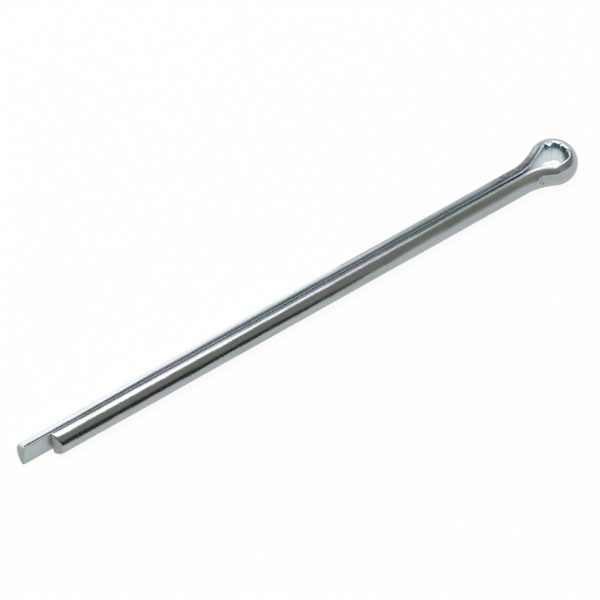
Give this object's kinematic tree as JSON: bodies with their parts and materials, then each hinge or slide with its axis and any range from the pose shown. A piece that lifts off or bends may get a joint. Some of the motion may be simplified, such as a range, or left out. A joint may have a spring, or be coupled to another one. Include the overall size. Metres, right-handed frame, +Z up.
{
  "type": "cotter pin",
  "caption": "Split pin of half-round wire, with a round eye and one leg longer than the other, that locks a nut or clevis pin through a drilled hole.",
  "frame": {"origin": "under the middle of the pin, on the surface that it lies on", "axes": "+X along the shank towards the eye, +Y towards the long leg, +Z up, along the axis of the hole in the eye"},
  "size_m": [0.0826, 0.0064, 0.0036],
  "materials": {
    "zinc_steel": "bright blue-clear zinc plate over drawn wire"
  },
  "bodies": {
    "root": {"cotter_pin": "zinc_steel"}
  },
  "joints": []
}
